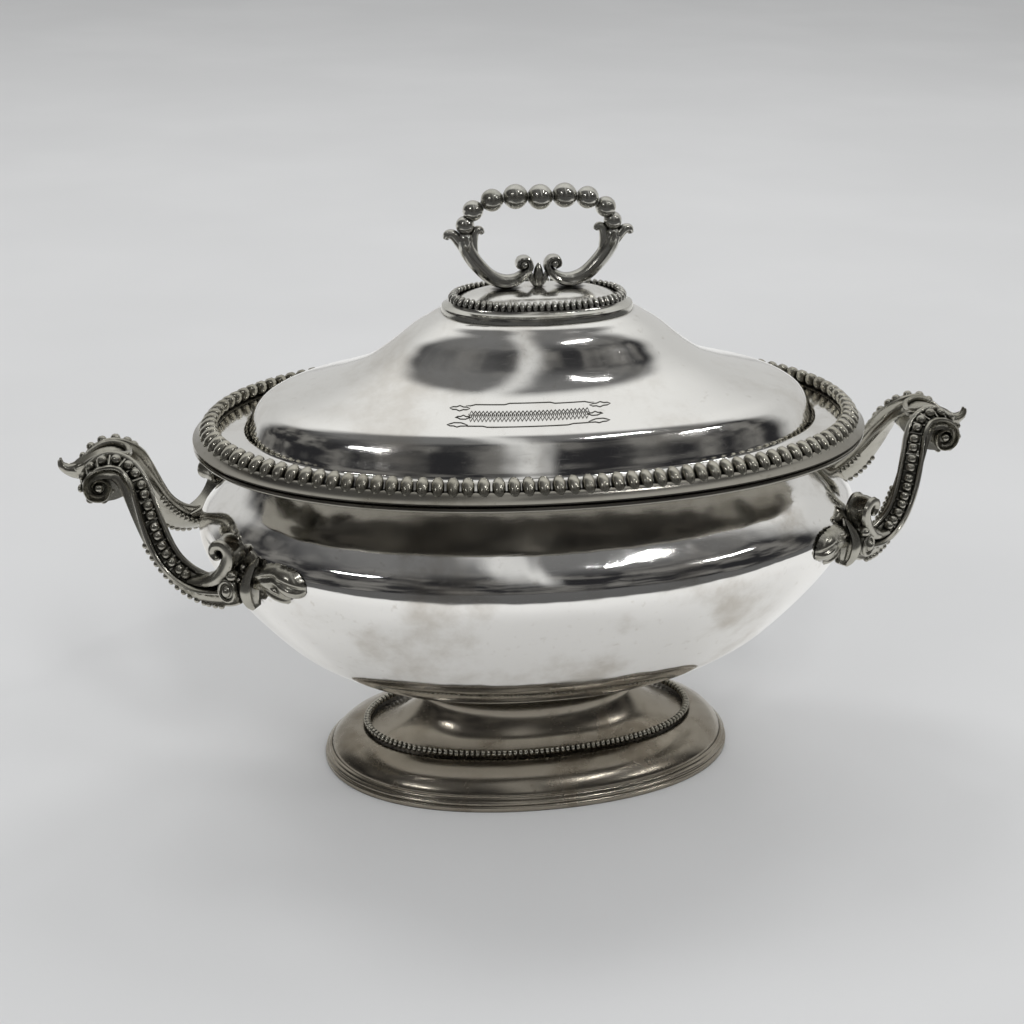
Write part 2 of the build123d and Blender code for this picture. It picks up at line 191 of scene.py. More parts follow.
def silver(name, bright, stain, grime, cloud, gloss, ripple, crevice, cloud_scale=22.0, painted_shade_height=9.0):
    """Old silver plate: bright metal, cloudy tarnish, rubbed scratches, hammer ripple, dark corners.

    Above the given height, faces that look down get painted shade, a flat dark brown.
    """
    speck_scale, speck_share = 260.0, 0.5
    swell_scale, dent_scale, dent_share = 26.0, 75.0, 0.28
    scratch_depth, scratch_haze = 0.0025, 0.05
    corner_reach = 0.0022
    material = bpy.data.materials.new(name)
    material.use_nodes = True
    nodes = Nodes(material.node_tree)
    place = nodes.add("TexCoord").outputs["Object"]
    clouds = nodes.ramp(nodes.noise(place, cloud_scale, 7.0, 0.62), 0.47, 0.72)
    specks = nodes.ramp(nodes.noise(place, speck_scale, 3.0), 0.60, 0.78)
    specks = nodes.maths("MULTIPLY", specks, speck_share)
    stains = nodes.maths("MULTIPLY", nodes.maths("MAXIMUM", clouds, specks), cloud)
    rubbed = nodes.noise(nodes.stretch(place, (60, 1400, 900), (0.2, 0.5, 0.35)), 1.0, 2.0)
    crossed = nodes.noise(nodes.stretch(place, (1100, 70, 1300), (0.6, 0.1, -0.5)), 1.0, 2.0)
    scratches = nodes.maths("MAXIMUM", nodes.ramp(rubbed, 0.60, 0.72), nodes.ramp(crossed, 0.62, 0.74))
    corners = nodes.add("AmbientOcclusion", samples=6)
    nodes.feed(corners, Distance=corner_reach)
    hollow = nodes.maths("SUBTRACT", 1.0, nodes.ramp(corners.outputs["AO"], 0.30, 0.92))
    hollow = nodes.maths("MULTIPLY", hollow, crevice)
    colour = nodes.blend(stains, (*bright, 1), (*stain, 1))
    colour = nodes.blend(hollow, colour, (*grime, 1))
    facing, height_up = nodes.add("SeparateXYZ"), nodes.add("SeparateXYZ")
    nodes.join(nodes.add("NewGeometry").outputs["Normal"], facing.inputs[0])
    nodes.join(place, height_up.inputs[0])
    # Painted shade: faces that look down, above the given height, are blended to a flat dark brown.
    painted_underside_shade = nodes.ramp(nodes.maths("MULTIPLY", facing.outputs["Z"], -1.0), 0.1, 0.6)
    above_shade_height = nodes.ramp(height_up.outputs["Z"], painted_shade_height, painted_shade_height + 0.006)
    colour = nodes.blend(nodes.maths("MULTIPLY", painted_underside_shade, above_shade_height), colour, (0.09, 0.07, 0.05, 1))
    rough = nodes.maths("MULTIPLY_ADD", stains, 0.20)
    rough.node.inputs[2].default_value = gloss
    rough = nodes.maths("ADD", rough, nodes.maths("MULTIPLY", scratches, scratch_haze))
    rough = nodes.maths("ADD", rough, nodes.maths("MULTIPLY", hollow, 0.35))
    swell = nodes.maths("MULTIPLY", nodes.noise(place, swell_scale, 1.0), ripple)
    dents = nodes.maths("MULTIPLY", nodes.noise(place, dent_scale, 1.0), ripple * dent_share)
    height = nodes.maths("ADD", swell, dents)
    height = nodes.maths("SUBTRACT", height, nodes.maths("MULTIPLY", scratches, scratch_depth))
    bump = nodes.add("Bump")
    nodes.feed(bump, Height=height, Strength=1.0, Distance=0.001)
    shader = nodes.add("BsdfPrincipled")
    nodes.feed(shader, Base_Color=colour, Metallic=1.0, Roughness=rough, Normal=bump.outputs["Normal"])
    out = nodes.add("OutputMaterial")
    nodes.join(shader.outputs["BSDF"], out.inputs["Surface"])
    return material


# The bowl's painted shade: faces that look down from 148 mm up, round the neck and under the brim, are painted
# dark.
bowl_silver = silver(
    "bowl_silver", (0.90, 0.89, 0.87), (0.46, 0.41, 0.34), (0.10, 0.09, 0.07),
    cloud=0.6, gloss=0.065, ripple=0.72, crevice=0.7, painted_shade_height=0.148,
)
bowl = walled(spun_oval(smooth_line(BOWL_LEVELS, 5)), SHEET)
piece("bowl_shell", bowl, "tureen", bowl_silver, "silver_sheet", "bowl")


# ---- Bead border of the bowl's rim ------------------------------------------------------
# A reeded edge strip is soldered round the brim, and a cast strip of egg-shaped beads sits in its
# seat. Between the beads are small pips. Old polish has left dark grime in the gaps.

RIM_A, RIM_B = 148.0, 92.2
RIM_BEAD_A, RIM_BEAD_B, RIM_BEAD_Z = 141.2, 85.4, 164.0
RIM_BEADS = 122
RIM_EDGE = [  # outwards from the rim's greatest width, height
    (-9.6, 159.0), (-1.8, 156.0), (-0.7, 156.0), (-0.25, 156.5), (-0.2, 157.2), (-0.5, 157.9),
    (-1.3, 158.3), (-1.2, 158.6), (-0.5, 158.8), (0.0, 159.2), (-0.1, 159.7), (-0.7, 160.1),
    (-1.5, 160.6), (-2.9, 161.9), (-3.7, 162.9), (-4.3, 163.1), (-5.2, 161.9), (-9.2, 161.4), (-9.9, 161.0),
]


def round_oval(width, depth, count):
    """(angle, outward direction) of points spaced evenly round an oval."""
    fine = 2880
    ring = [on_oval(width, depth, 0, math.tau * i / fine) for i in range(fine + 1)]
    lengths = [0.0]
    for here, onward in zip(ring, ring[1:]):
        lengths.append(lengths[-1] + (onward - here).length)
    places = []
    i = 0
    for k in range(count):
        while lengths[i + 1] < lengths[-1] * k / count:
            i += 1
        run = (ring[i + 1] - ring[i]).normalized()
        places.append((math.tau * i / fine, Vector((run.y, -run.x, 0))))
    return places


def bead_shape():
    """A round bead of 54 faces, made once and copied wherever beads sit."""
    bm = bmesh.new()
    bmesh.ops.create_cube(bm, size=2.0)
    bmesh.ops.subdivide_edges(bm, edges=bm.edges[:], cuts=2, use_grid_fill=True)
    for vert in bm.verts:
        vert.co.normalize()
    mesh = bpy.data.meshes.new("bead_shape")
    bm.to_mesh(mesh)
    bm.free()
    return mesh


BEAD = bead_shape()


def add_bead(bm, place, radii, axes):
    """Sets a bead at a place, with its own radii along three axes."""
    turn = Matrix([axis * radius for axis, radius in zip(axes, radii)]).transposed().to_4x4()
    mesh = BEAD.copy()
    mesh.transform(Matrix.Translation(place) @ turn)
    bm.from_mesh(mesh)
    bpy.data.meshes.remove(mesh)


def bead_ring(width, depth, z, count, radii, tilt, pip):
    """Beads round an oval, tipped outwards and down, with a pip at the foot of each gap."""
    bm = bmesh.new()
    up = Vector((0, 0, 1))
    for k, (turn, out) in enumerate(round_oval(width, depth, count * 2)):
        run = up.cross(out)
        slope = out * math.cos(tilt) - up * math.sin(tilt)
        lift = run.cross(slope) * -1
        centre = on_oval(width, depth, z, turn)
        if k % 2 == 0:
            add_bead(bm, centre, [r * MM for r in radii], (run, slope, lift))
        elif pip:
            foot = centre + slope * radii[1] * 0.78 * MM - lift * radii[2] * 0.30 * MM
            bmesh.ops.create_icosphere(bm, subdivisions=1, radius=pip * MM, matrix=Matrix.Translation(foot))
    bmesh.ops.recalc_face_normals(bm, faces=bm.faces)
    return bm


moulded_silver = silver(
    "moulded_silver", (0.32, 0.305, 0.27), (0.17, 0.155, 0.12), (0.03, 0.026, 0.02),
    cloud=0.7, gloss=0.15, ripple=0.12, crevice=1.0,
)
bead_silver = silver(
    "bead_silver", (0.50, 0.48, 0.415), (0.24, 0.22, 0.17), (0.025, 0.023, 0.018),
    cloud=0.65, gloss=0.20, ripple=0.05, crevice=1.0,
)
edge_line = [(RIM_A + out, RIM_B + out, z) for out, z in RIM_EDGE]
piece("rim_edge_strip", spun_oval(edge_line, closed=True), "tureen", moulded_silver, "moulded_silver",
      "bowl_rim_moulding")
piece("rim_bead_strip",
      bead_ring(RIM_BEAD_A, RIM_BEAD_B, RIM_BEAD_Z, RIM_BEADS, (2.85, 4.9, 3.1), math.radians(44), 0.75),
      "tureen", bead_silver, "beaded_silver", "bowl_rim_beading")


# ---- Foot ------------------------------------------------------------------------------
# The foot is a separate spun shell: a hollow stem, a dished top and a wide skirt. A reeded wire
# strip stiffens its lower edge, and a fine bead strip is soldered on the dish. It is worn and browner.

FOOT_SHEET = 0.9
FOOT_LEVELS = [  # half-width, half-depth, height
    (91.8, 57.8, 0.9), (91.8, 57.8, 6.2), (90.4, 56.3, 9), (87.4, 52.9, 12), (83.2, 48, 14.4),
    (79, 43, 15.6), (75, 38.6, 15.4), (70, 34.6, 16.2), (62.5, 29.4, 19.4), (55, 26.2, 24.5),
    (50, 25, 30), (49.6, 25.8, 35.2),
]
FOOT_A, FOOT_B = 95.0, 61.0
FOOT_EDGE = [  # outwards from the foot's greatest width, height
    (-2.9, 0.0), (-0.4, 0.0), (0.0, 0.5), (0.0, 2.1), (-0.4, 2.6), (-1.0, 2.9), (-1.0, 3.3), (-0.5, 3.6),
    (-0.45, 4.1), (-0.8, 4.6), (-1.5, 5.0), (-1.7, 5.6), (-2.2, 6.1), (-3.0, 6.4),
]
FOOT_BEAD_A, FOOT_BEAD_B, FOOT_BEAD_Z = 75.6, 39.3, 17.5
FOOT_BEADS = 156
foot_silver = silver(
    "foot_silver", (0.33, 0.30, 0.25), (0.18, 0.15, 0.11), (0.045, 0.036, 0.025),
    cloud=0.8, gloss=0.19, ripple=0.16, crevice=0.9, cloud_scale=30.0,
)
foot = walled(spun_oval(smooth_line(FOOT_LEVELS, 5)), FOOT_SHEET)
piece("foot_spun_shell", foot, "tureen", foot_silver, "foot_silver", "foot_shell")
edge_line = [(FOOT_A + out, FOOT_B + out, z) for out, z in FOOT_EDGE]
piece("foot_edge_strip", spun_oval(edge_line, closed=True), "tureen", foot_silver, "foot_silver",
      "foot_rim_moulding")
piece("foot_bead_strip",
      bead_ring(FOOT_BEAD_A, FOOT_BEAD_B, FOOT_BEAD_Z, FOOT_BEADS, (1.16, 1.7, 1.7), 0.0, 0.0),
      "tureen", bead_silver, "beaded_silver", "foot_beading")


# ---- Side handle arms -------------------------------------------------------------------
# Each side handle has two cast arms. An arm is a ribbed strap with a row of beads in cells along its
# upper face. It hooks up at the root, climbs in an S and rolls over into a scroll under the head.

ARM_START = Vector((131.0, 49.0, 0.0))
ARM_RUN = Vector((0.831, -0.556, 0.0))
ARM_SIDE = Vector((0.556, 0.831, 0.0))
ARM_LINE = [  # outwards, across, height, share of the full depth, twist of the beaded face outwards
    (132.7, 47.9, 111.2, 0.9, 10), (136, 45.7, 109.8, 0.95, 14), (141.8, 41.8, 109.2, 1, 22),
    (148.5, 37.3, 109.8, 1, 32), (154.3, 33.4, 112.4, 1, 40), (159.3, 30.1, 116.8, 1, 44),
    (163, 27.2, 122.1, 1, 46), (165.8, 24.9, 128.1, 1, 46), (168.4, 22.2, 135, 1, 44),
    (170.8, 19.4, 142, 1, 40), (173.1, 16.2, 148.2, 1, 34), (175.9, 13.2, 152.2, 1, 28),
    (179.3, 11.4, 154.5, 1, 24), (183.4, 10.6, 155, 0.96, 22),
]
VOLUTE = Vector((187.6, 10.5, 147.0))
SCROLL_TWIST = 16
VOLUTE_TURNS = [  # angle, radius, share of the full depth
    (84, 6.6, 0.72), (44, 5.6, 0.52), (0, 5.2, 0.43), (-45, 5.3, 0.42), (-90, 5.0, 0.40), (-130, 4.6, 0.37),
    (-190, 4.0, 0.33), (-260, 3.2, 0.28), (-330, 2.4, 0.23), (-400, 1.7, 0.18), (-470, 1.0, 0.13),
]
ARM_SECTION = [  # half of the strap: across, towards the beaded face
    (0.0, 2.4), (2.6, 2.4), (3.1, 3.6), (3.8, 4.1), (4.8, 4.1), (5.4, 3.4), (5.3, 2.6), (4.6, 1.9),
    (3.9, 0.4), (3.9, -1.2), (4.5, -2.4), (5.0, -3.1), (4.6, -4.1), (2.6, -4.5), (0.0, -4.6),
]
WEB_OUTLINE = [  # the plate inside the scroll: outwards, height
    (174, 149), (175.3, 145), (177.4, 142.4), (181, 141), (185, 140.4), (188, 143), (186, 152), (180, 153),
]
WEB_THICKNESS = 6.0
BEAD_PITCH = 4.35
EDGE_BEAD_PITCH = 2.75
HOOK_LINE = [  # the hook that turns up from the strap's face at the root: run, height, depth, width
    (25.0, 112.8, 0.6, 0.9), (19.0, 113.4, 1.0, 1.0), (13.5, 115.6, 1.4, 1.0), (9.0, 119.4, 1.7, 1.05),
    (6.2, 124.0, 1.8, 1.1), (5.6, 128.4, 1.7, 1.1), (7.8, 131.2, 1.5, 1.1), (11.0, 130.8, 1.2, 1.1),
    (12.2, 128.2, 0.95, 1.05), (10.8, 126.2, 0.75, 1.0), (9.2, 126.8, 0.55, 0.95),
]
HOOK_SECTION = [
    (0, 1.7), (2.4, 1.5), (3.6, 2.0), (4.8, 1.7), (5.3, 0.6), (4.9, -0.6), (3.8, -1.5), (0, -1.7),
]
COLLAR_LINE = [  # the pointed collar that hides the joint with the root leaf
    (-5.0, 105.0, 0.8, 0.45), (-3.4, 107.0, 1.8, 0.7), (-2.6, 110.0, 2.4, 0.9), (-2.2, 114.0, 2.7, 1.0),
    (-2.4, 118.0, 2.4, 0.9), (-3.6, 122.0, 1.8, 0.65), (-5.4, 125.5, 0.9, 0.35), (-6.4, 127.5, 0.4, 0.15),
]
COLLAR_SECTION = [
    (0, 1.5), (1.0, 1.2), (2.0, 0.5), (3.4, 0.5), (5.0, 1.0), (6.3, 0.6), (6.9, -0.3), (5.0, -1.0), (0, -1.1),
]
ROOT_BOSS = (5.0, 113.2)
ROOT_BEAD = (3.4, 119.6)


def frames_along(line, side_at):
    """A frame (side, face, run) at each (x, y, z, depth share, width share[, twist]) of a line."""
    placed = []
    last = len(line) - 1
    for i, point in enumerate(line):
        here = Vector(point[:3])
        run = (Vector(line[min(i + 1, last)][:3]) - Vector(line[max(i - 1, 0)][:3])).normalized()
        face = run.cross(side_at(here)).normalized()
        side = face.cross(run)
        turn = Matrix((side * point[4], face * point[3], run)).transposed().to_4x4()
        twist = Matrix.Rotation(-math.radians(point[5]), 4, "Z") if len(point) > 5 else Matrix.Identity(4)
        placed.append(Matrix.Translation(here) @ turn @ twist)
    return placed


def upright_line(points, steps):
    """Smooths points of (outwards, height, depth share[, width share]) in the upright plane y = 0."""
    full = [(u, 0.0, z, depth, (width or (1.0,))[0]) for u, z, depth, *width in points]
    return smooth_line(full, steps)


def across(_):
    """The side direction of a line that lies in an upright plane."""
    return Vector((0, 1, 0))


def swept(bm, section, stations):
    """Draws a closed section through frames, ring after ring, and closes both ends."""
    verts = [bm.verts.new(stations[0] @ Vector((s, t, 0))) for s, t in section]
    made = list(verts)
    ring = [bm.edges.new(pair) for pair in zip(verts, verts[1:] + verts[:1])]
    bmesh.ops.contextual_create(bm, geom=ring)
    for here, onward in zip(stations, stations[1:]):
        grown = bmesh.ops.extrude_edge_only(bm, edges=ring)["geom"]
        moved = {part for part in grown if isinstance(part, bmesh.types.BMVert)}
        ring = [e for e in grown if isinstance(e, bmesh.types.BMEdge) and set(e.verts) <= moved]
        bmesh.ops.transform(bm, matrix=onward @ here.inverted(), verts=list(moved))
        made += moved
    bmesh.ops.contextual_create(bm, geom=ring)
    return made


def along(line, start, pitch, stop):
    """Indices of a fine line's points at even spacing between two distances."""
    picked = []
    travelled = 0.0
    wanted = start
    for i in range(1, len(line)):
        travelled += (Vector(line[i][:3]) - Vector(line[i - 1][:3])).length
        if travelled >= wanted and travelled <= stop:
            picked.append(i)
            wanted += pitch
    return picked


def oval_section(half_width, half_depth, count=16):
    """A round or oval section for a swept wire."""
    turns = [math.tau * k / count for k in range(count)]
    return [(half_width * math.cos(turn), half_depth * math.sin(turn)) for turn in turns]


def arm_side(place):
    """The strap's side direction: square to the arm's run at the root, square to the handle at the head."""
    share = min(1.0, max(0.0, (place.x - 158.0) / 22.0))
    return ARM_SIDE.lerp(Vector((0, 1, 0)), share * share * (3 - 2 * share))


def arm_path():
    """The strap's whole path, fine enough to sweep: up from the root, over and round the scroll."""
    points = [(x, y, z, depth, 1.0, twist) for x, y, z, depth, twist in ARM_LINE]
    for angle, radius, share in VOLUTE_TURNS:
        turn = math.radians(angle)
        spot = VOLUTE + Vector((math.cos(turn), 0, math.sin(turn))) * radius
        points.append((*spot, share, 1.0, SCROLL_TWIST))
    return smooth_line(points, 8)


def add_strap(bm):
    """The ribbed strap, its beads in cells, small beads along its lower edges, and the scroll's web."""
    path = arm_path()
    stations = frames_along(path, arm_side)
    mirrored = [(-s, t) for s, t in ARM_SECTION[1:-1]]
    swept(bm, ARM_SECTION + mirrored[::-1], stations)
    for i in along(path, 26.0, BEAD_PITCH, 117.0):
        share = path[i][3]
        size = 1.45 + 0.75 * share
        axes = [axis.normalized() for axis in stations[i].to_3x3().col]
        centre = stations[i].translation + axes[1] * (2.4 * share + 0.72 * size)
        add_bead(bm, centre, (size, size, size), axes)
    for i in along(path, 28.2, BEAD_PITCH, 115.0):
        bar = stations[i] @ Matrix.Translation((0, 2.6, 0)) @ Matrix.Diagonal((5.6, 2.0, 0.55, 1))
        bmesh.ops.create_cube(bm, size=1.0, matrix=bar)
    for i in along(path, 8.0, EDGE_BEAD_PITCH, 47.0):
        for edge in (-1, 1):
            axes = [axis.normalized() for axis in stations[i].to_3x3().col]
            add_bead(bm, stations[i] @ Vector((4.8 * edge, -3.9, 0)), (1.35, 1.35, 1.35), axes)
    web = [bm.verts.new((x, VOLUTE.y - WEB_THICKNESS / 2, z)) for x, z in WEB_OUTLINE]
    grown = bmesh.ops.extrude_face_region(bm, geom=[bm.faces.new(web)])["geom"]
    far_side = [v for v in grown if isinstance(v, bmesh.types.BMVert)]
    bmesh.ops.translate(bm, vec=(0, WEB_THICKNESS, 0), verts=far_side)
    hub = Matrix.Translation(VOLUTE) @ Matrix.Diagonal((5.6, 3.7, 5.6, 1))
    bmesh.ops.create_uvsphere(bm, u_segments=24, v_segments=14, radius=1.0, matrix=hub)
    for edge in (-1, 1):
        eye = Matrix.Translation(VOLUTE + Vector((0, 4.4 * edge, 0))) @ Matrix.Diagonal((1.9, 1.7, 1.9, 1))
        bmesh.ops.create_uvsphere(bm, u_segments=20, v_segments=12, radius=1.0, matrix=eye)


def both_halves(half):
    """A closed section from its right half, listed from top to bottom."""
    return half + [(-s, t) for s, t in half[1:-1]][::-1]


def add_root(bm):
    """Root hook, ringed boss with the bead over it, and the pointed collar, in the arm's own plane."""
    swept(bm, both_halves(HOOK_SECTION), frames_along(upright_line(HOOK_LINE, 6), across))
    swept(bm, both_halves(COLLAR_SECTION), frames_along(upright_line(COLLAR_LINE, 5), across))
    for edge in (-1, 1):
        for (run, rise), radii in (
            (ROOT_BOSS, (4.3, 3.0, 5.2)), (ROOT_BOSS, (2.5, 4.6, 3.2)), (ROOT_BEAD, (2.5, 3.0, 2.3)),
        ):
            place = Matrix.Translation((run, 4.4 * edge, rise)) @ Matrix.Diagonal((*radii, 1))
            bmesh.ops.create_uvsphere(bm, u_segments=24, v_segments=14, radius=1.0, matrix=place)
        turns = [math.tau * k / 24 for k in range(25)]
        run, rise = ROOT_BOSS
        ring = [(run + 3.5 * math.cos(a), 6.6 * edge, rise + 4.4 * math.sin(a), 1, 1) for a in turns]
        swept(bm, oval_section(0.8, 0.8, 8), frames_along(ring, across))


def arm_parts():
    """One whole arm, for the right rear, in millimetres."""
    bm = bmesh.new()
    add_root(bm)
    turn = Matrix((ARM_RUN, ARM_SIDE, Vector((0, 0, 1)))).transposed().to_4x4()
    bmesh.ops.transform(bm, matrix=Matrix.Translation(ARM_START) @ turn, verts=bm.verts)
    add_strap(bm)
    return bm


cast_silver = silver(
    "cast_silver", (0.45, 0.435, 0.385), (0.22, 0.21, 0.165), (0.03, 0.03, 0.022),
    cloud=0.75, gloss=0.21, ripple=0.06, crevice=0.85, cloud_scale=60.0,
)
SIDES = [("left", -1), ("right", 1)]
ENDS = [("front", -1), ("rear", 1)]
for x_name, x_side in SIDES:
    for y_name, y_side in ENDS:
        arm = arm_parts()
        bmesh.ops.scale(arm, vec=(x_side * MM, y_side * MM, MM), verts=arm.verts)
        bmesh.ops.recalc_face_normals(arm, faces=arm.faces)
        piece(f"{x_name}_{y_name}_arm_cast", arm, "tureen", cast_silver, "cast_silver",
              f"{x_name}_handle_{y_name}_arm")


# ---- Side handle heads -------------------------------------------------------------------
# Where the two arms meet, a cast leaf hood covers them. It has a rolled rim round the bowl end, a
# dished middle and an upturned two-lobed tip. It is brazed to both arms.

HEAD_SPINE = [  # outwards, height, depth share, width share
    (174.6, 153.2, 0.8, 0.75), (176.4, 155.0, 1.1, 0.85), (180.5, 155.8, 1.4, 0.88),
    (185.5, 155.0, 1.7, 0.85), (190.0, 152.9, 2.2, 0.70), (194.0, 151.0, 2.4, 0.50),
    (197.0, 150.3, 1.9, 0.37), (199.8, 150.8, 1.3, 0.29), (202.0, 152.4, 0.9, 0.23),
    (202.9, 154.8, 0.45, 0.15),
]
HEAD_SECTION = [  # half of the dished hood: across, up
    (0, 0.2), (2.4, 0.4), (4.6, 1.0), (6.2, 1.4), (7.2, 1.2), (7.5, 0.2), (6.4, -1.0), (3.2, -1.9), (0, -2.1),
]
HOOD_RIM = [  # half of the rolled rim: outwards, across, height
    (174.4, 0.0, 156.4), (174.8, 3.2, 157.2), (176.4, 5.6, 157.8), (180.4, 6.8, 158.8), (185.0, 6.7, 158.2),
    (189.0, 5.6, 156.4), (192.6, 4.1, 153.9), (196.0, 2.4, 151.9),
]


def swept_wire(bm, line, radii, steps=5, sides=10):
    """A round wire through points in space, thinner or thicker along it."""
    fine = smooth_line([(*point, radius) for point, radius in zip(line, radii)], steps)
    stations = []
    last = len(fine) - 1
    side = (fine[1] - fine[0]).xyz.orthogonal()
    for i, point in enumerate(fine):
        run = (fine[min(i + 1, last)] - fine[max(i - 1, 0)]).xyz.normalized()
        side = (side - run * side.dot(run)).normalized()
        turn = Matrix((side * point.w, run.cross(side) * point.w, run)).transposed().to_4x4()
        stations.append(Matrix.Translation(point.xyz) @ turn)
    return swept(bm, oval_section(1.0, 1.0, sides), stations)


for x_name, x_side in SIDES:
    head = bmesh.new()
    swept(head, both_halves(HEAD_SECTION), frames_along(upright_line(HEAD_SPINE, 5), across))
    rim = [(x, -y, z) for x, y, z in HOOD_RIM[:0:-1]] + HOOD_RIM
    thickness = [0.7, 1.0, 1.2, 1.35, 1.4, 1.4, 1.35]
    swept_wire(head, rim, thickness + [1.3] + thickness[::-1])
    for tip in (-1, 1):
        swept_wire(head, [(196.5, 0.8 * tip, 150.4), (199.8, 1.0 * tip, 150.8), (202.0, 1.0 * tip, 152.4),
                          (202.6, 1.0 * tip, 155.4)], [2.2, 1.6, 1.2, 0.5])
    bmesh.ops.scale(head, vec=(x_side * MM, MM, MM), verts=head.verts)
    bmesh.ops.recalc_face_normals(head, faces=head.faces)
    piece(f"{x_name}_handle_hood", head, "tureen", cast_silver, "cast_silver", f"{x_name}_handle_head")


# ---- Root leaves -------------------------------------------------------------------------
# Each arm ends in a cast acanthus leaf that spreads along the belly: a big curled upper lobe, a round
# end lobe and a small lower one, with a groove down the middle. The leaf is soldered to the bowl.

LEAF_CENTRE = Vector((119.0, 60.5, 119.0))
LEAF_OUT = Vector((0.63, 0.777, 0.0)).normalized()
LEAF_RUN = Vector((-0.777, 0.63, 0.0)).normalized()
LEAF_REACH, LEAF_RISE = 17.0, 9.0
LEAF_WALL = 1.0
LEAF_TRIM = -1.2
LEAF_LOBES = [  # along, up, half-length, half-height, how far it stands out, slant
    (-3.5, 2.4, 7.6, 5.2, 4.0, 0.32), (5.2, 1.2, 7.4, 6.2, 5.0, -0.24), (-1.5, -4.7, 7.0, 3.4, 3.4, -0.30),
    (-11.5, -0.6, 6.0, 5.4, 3.2, 0.0),
]


def leaf_height(along_leaf, up_leaf):
    """How far the leaf stands out from the belly at a place on it."""
    total = 0.0
    for run, rise, half_length, half_height, out, slant in LEAF_LOBES:
        away = along_leaf - run
        lift = up_leaf - rise - slant * away
        reach = (away / half_length) ** 2 + (lift / half_height) ** 2
        if reach < 1.0:
            groove = 1.0 - 0.42 * math.exp(-((lift / 1.1) ** 2))
            total += (out * math.sqrt(1.0 - reach) * groove) ** 3
    return total ** (1.0 / 3.0) - 1.3


def belly_depth(along_leaf, up_leaf):
    """How far the belly falls away from the leaf's flat plane."""
    return 0.0042 * along_leaf ** 2 + 0.010 * max(0.0, up_leaf) ** 2 + 0.006 * min(0.0, up_leaf) ** 2


for x_name, x_side in SIDES:
    for y_name, y_side in ENDS:
        leaf = bmesh.new()
        bmesh.ops.create_grid(leaf, x_segments=56, y_segments=34, size=1.0)
        for vert in leaf.verts:
            run, rise = vert.co.x * LEAF_REACH, vert.co.y * LEAF_RISE
            out = leaf_height(run, rise) - belly_depth(run, rise)
            vert.co = LEAF_CENTRE + LEAF_RUN * run + LEAF_OUT * out + Vector((0, 0, rise))
        low = [f for f in leaf.faces if all((v.co - LEAF_CENTRE).dot(LEAF_OUT) < LEAF_TRIM for v in f.verts)]
        bmesh.ops.delete(leaf, geom=low, context="FACES")
        bmesh.ops.smooth_vert(
            leaf, verts=leaf.verts, factor=0.5, use_axis_x=True, use_axis_y=True, use_axis_z=True,
        )
        bmesh.ops.recalc_face_normals(leaf, faces=leaf.faces)
        middle_face = leaf.faces[:][len(leaf.faces) // 2]
        if middle_face.normal.dot(LEAF_OUT) < 0:
            bmesh.ops.reverse_faces(leaf, faces=leaf.faces)
        bmesh.ops.solidify(leaf, geom=leaf.faces[:], thickness=LEAF_WALL)
        bmesh.ops.scale(leaf, vec=(x_side * MM, y_side * MM, MM), verts=leaf.verts)
        if x_side * y_side < 0:
            bmesh.ops.reverse_faces(leaf, faces=leaf.faces)
        piece(f"{x_name}_{y_name}_leaf_cast", leaf, "tureen", cast_silver, "cast_silver",
              f"{x_name}_handle_{y_name}_leaf", sharp=70)


# ---- Lid ---------------------------------------------------------------------------------
# The lid is raised like the bowl: a flat flange that drops inside the bead border, an upright step,
# a rounded shoulder and a domed crown. A bezel under it locates it in the bowl's neck.

LID_LEVELS = [  # half-width, half-depth, height
    (137.4, 81.6, 161.4), (130.4, 74.9, 161.35), (127.0, 72.1, 161.5), (125.7, 70.9, 162.1),
    (124.8, 69.9, 164.2), (123.4, 68.4, 167), (121.9, 66.9, 170), (119.7, 65.4, 172.8),
    (116.6, 63.9, 175.2), (111.4, 61.3, 177.6), (101, 55.9, 180.5), (87.6, 48.6, 184.5),
    (76.2, 42.4, 189), (68, 38, 194), (61.4, 34.8, 199), (55.2, 31.8, 204), (48.8, 28.4, 208),
    (41, 24, 211.5), (20, 11.7, 214.2), (0, 0, 214.6),
]
sheet_silver = silver(
    "sheet_silver", (0.88, 0.87, 0.845), (0.50, 0.45, 0.38), (0.10, 0.09, 0.07),
    cloud=0.42, gloss=0.07, ripple=0.30, crevice=0.6,
)
lid = walled(spun_oval(smooth_line(LID_LEVELS, 5)), SHEET)
piece("lid_shell", lid, "lid", sheet_silver, "silver_sheet", "lid_dome")
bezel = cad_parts["lid_bezel"]
bezel.data.materials.clear()
bezel.data.materials.append(sheet_silver)


# ---- Engraved cartouche on the lid --------------------------------------------------------
# An empty name panel is cut into the front of the shoulder: a hatched band with toothed edges between
# two thin lines, ending in pointed leaves. The cuts hold dark tarnish.

CARTOUCHE_TURN = math.radians(-98.4)
CARTOUCHE_DEPTH = 52.6
PANEL_HALF = 26.0
TOOTH_PITCH = 0.8
CUT = 0.27
LEAF_ENDS = [  # start along the panel, height on it, length
    (PANEL_HALF - 2, 4.2, 9.0), (PANEL_HALF - 3, 0.8, 7.0), (PANEL_HALF - 2, -3.4, 9.0),
]


def on_lid(across_panel, down_panel):
    """The point on the lid's front shoulder at a place on the panel, in metres."""
    fine = smooth_line(LID_LEVELS, 12)
    near = min(fine, key=lambda level: abs(level.y - (CARTOUCHE_DEPTH + down_panel)) + (level.z > 200) * 99)
    turn = CARTOUCHE_TURN + across_panel / near.x
    return on_oval(near.x, near.y, near.z + 0.02, turn)


def add_cut(bm, points, width):
    """A thin dark line laid along points of the panel."""
    spots = [on_lid(*point) for point in points]
    radii = [width * MM] * (len(spots) - 2)
    swept_wire(bm, spots, [width * MM * 0.3, *radii, width * MM * 0.3], steps=1, sides=6)


